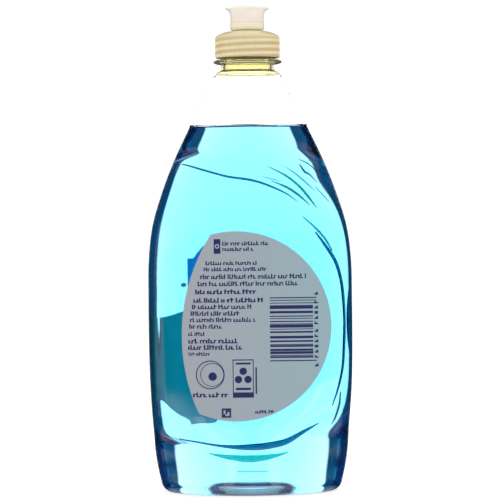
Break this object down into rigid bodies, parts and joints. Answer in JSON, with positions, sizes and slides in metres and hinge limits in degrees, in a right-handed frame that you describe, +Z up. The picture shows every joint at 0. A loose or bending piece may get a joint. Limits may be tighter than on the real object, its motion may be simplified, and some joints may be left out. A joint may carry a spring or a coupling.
{
  "type": "dish soap bottle",
  "caption": "Clear oval bottle filled with blue liquid, with a label on each broad face, a ribbed screw cap and a push-pull nozzle.",
  "frame": {"origin": "on the standing surface, under the middle of the bottle", "axes": "+Z up the bottle's axis to the nozzle, X across its broad faces, back label facing -Y, front label facing +Y"},
  "size_m": [0.098, 0.0512, 0.2332],
  "materials": {
    "clear_pet": "clear gloss",
    "blue_liquid": "clear liquid",
    "natural_polypropylene": "translucent satin",
    "milky_polypropylene": "translucent satin",
    "back_label_film": "printed film",
    "front_label_film": "printed film"
  },
  "bodies": {
    "bottle_body": {"bottle": "clear_pet", "soap": "blue_liquid", "back_label": "back_label_film", "front_label": "front_label_film"},
    "closure_body": {"closure": "natural_polypropylene"},
    "nozzle_body": {"nozzle": "milky_polypropylene"}
  },
  "joints": [
    {"name": "cap_lift", "type": "slide", "parent": "bottle_body", "child": "closure_body", "axis": [0, 0, 1], "range_m": [0, 0.03]},
    {"name": "nozzle_pull", "type": "slide", "parent": "closure_body", "child": "nozzle_body", "axis": [0, 0, 1], "range_m": [0, 0.005]}
  ]
}
